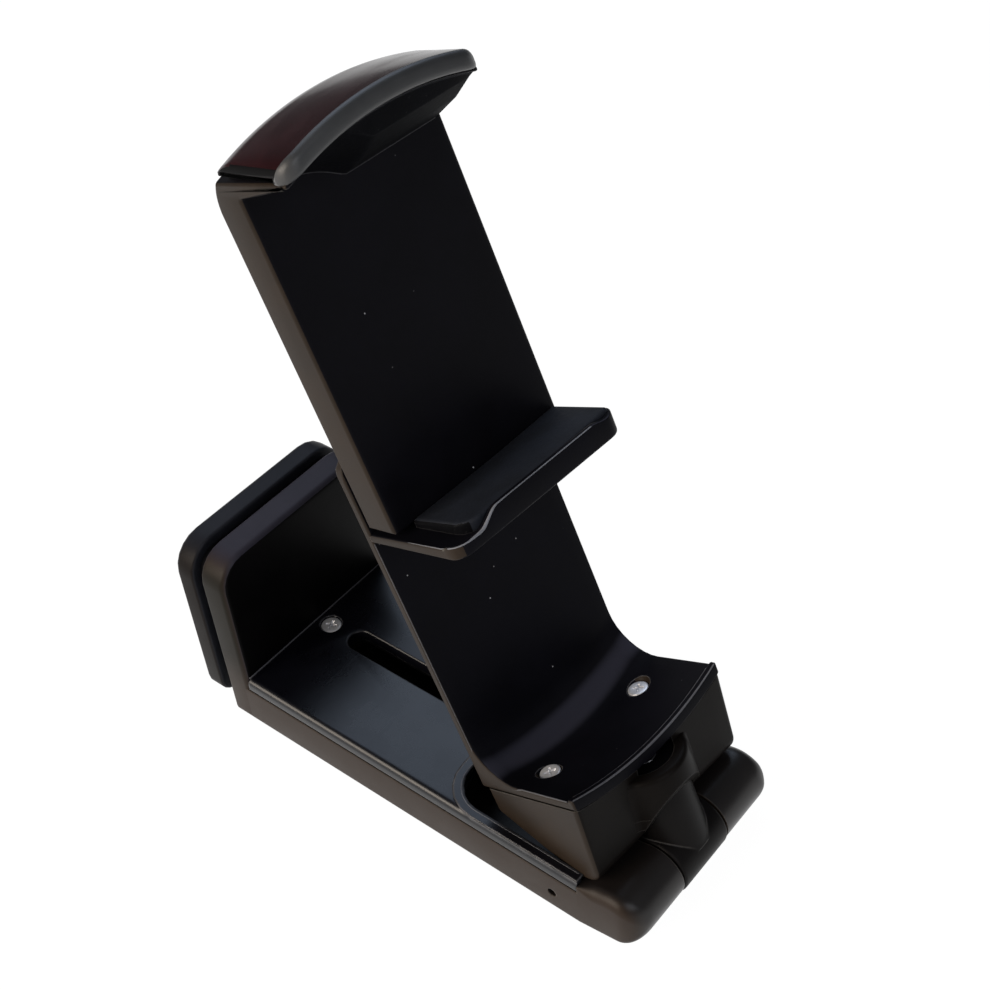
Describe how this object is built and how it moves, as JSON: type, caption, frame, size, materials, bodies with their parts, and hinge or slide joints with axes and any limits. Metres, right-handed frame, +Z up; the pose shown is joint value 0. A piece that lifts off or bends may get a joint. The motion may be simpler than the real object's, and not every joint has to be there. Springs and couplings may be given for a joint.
{
  "type": "phone holder",
  "caption": "Folding phone holder with a spring-loaded phone clamp on a swivelling arm, hinged to a base whose sliding jaw grips a table edge.",
  "frame": {"origin": "on the underside of the base, below the inner face of its upright wall, in the middle of the width", "axes": "+X runs along the base from the wall to the hinge, +Y across the width, +Z up; the arm leans back over the base towards the wall"},
  "size_m": [0.1037, 0.0402, 0.1378],
  "materials": {
    "satin_black_plastic": "satin",
    "glossy_black_plastic": "gloss",
    "soft_rubber": "matte",
    "bright_steel": "bright",
    "spring_steel": "drawn"
  },
  "bodies": {
    "base": {"base_shell": "satin_black_plastic", "base_cover": "satin_black_plastic", "cover_screw": "bright_steel", "wall_pad": "soft_rubber", "spring_rod_near": "spring_steel", "spring_rod_far": "spring_steel", "tray_spring_near": "spring_steel", "tray_spring_far": "spring_steel", "hinge_pin": "bright_steel", "hinge_cap": "satin_black_plastic"},
    "tray_clamp": {"tray_jaw": "satin_black_plastic", "tray_jaw_pad": "soft_rubber", "jaw_guide_stud": "bright_steel"},
    "swivel_base": {"swivel_post": "satin_black_plastic", "swivel_washer": "spring_steel", "swivel_disc": "satin_black_plastic", "swivel_screw": "bright_steel", "hinge_washer_near": "spring_steel", "hinge_washer_far": "spring_steel"},
    "arm": {"swivel_housing": "satin_black_plastic", "back_plate": "satin_black_plastic", "shelf_screw_near": "bright_steel", "shelf_screw_far": "bright_steel", "lower_jaw_pad": "soft_rubber", "phone_spring_near": "spring_steel", "phone_spring_far": "spring_steel"},
    "upper_jaw": {"front_panel": "satin_black_plastic", "hood_cap": "glossy_black_plastic", "upper_jaw_pad": "soft_rubber", "sleeve_back": "satin_black_plastic", "sleeve_guide_screw": "bright_steel", "sleeve_screw_near": "bright_steel", "sleeve_screw_far": "bright_steel"}
  },
  "joints": [
    {"name": "tray_jaw_slide", "type": "slide", "parent": "base", "child": "tray_clamp", "axis": [-1, 0, 0], "range_m": [0, 0.028], "stiffness_N_per_m": 150, "springref_m": -0.03, "deforming": ["tray_spring_near", "tray_spring_far"]},
    {"name": "arm_fold", "type": "hinge", "parent": "base", "child": "swivel_base", "pos_m": [0.0842, 0, 0.0069], "axis": [0, 1, 0], "range_deg": [0, 180]},
    {"name": "arm_swivel", "type": "hinge", "parent": "swivel_base", "child": "arm", "pos_m": [0.0842, 0, 0.0069], "axis": [-0.3502, 0, 0.9367], "continuous": true},
    {"name": "phone_jaw_slide", "type": "slide", "parent": "arm", "child": "upper_jaw", "axis": [-0.3502, 0, 0.9367], "range_m": [0, 0.036], "stiffness_N_per_m": 120, "springref_m": -0.04, "deforming": ["phone_spring_near", "phone_spring_far"]}
  ]
}
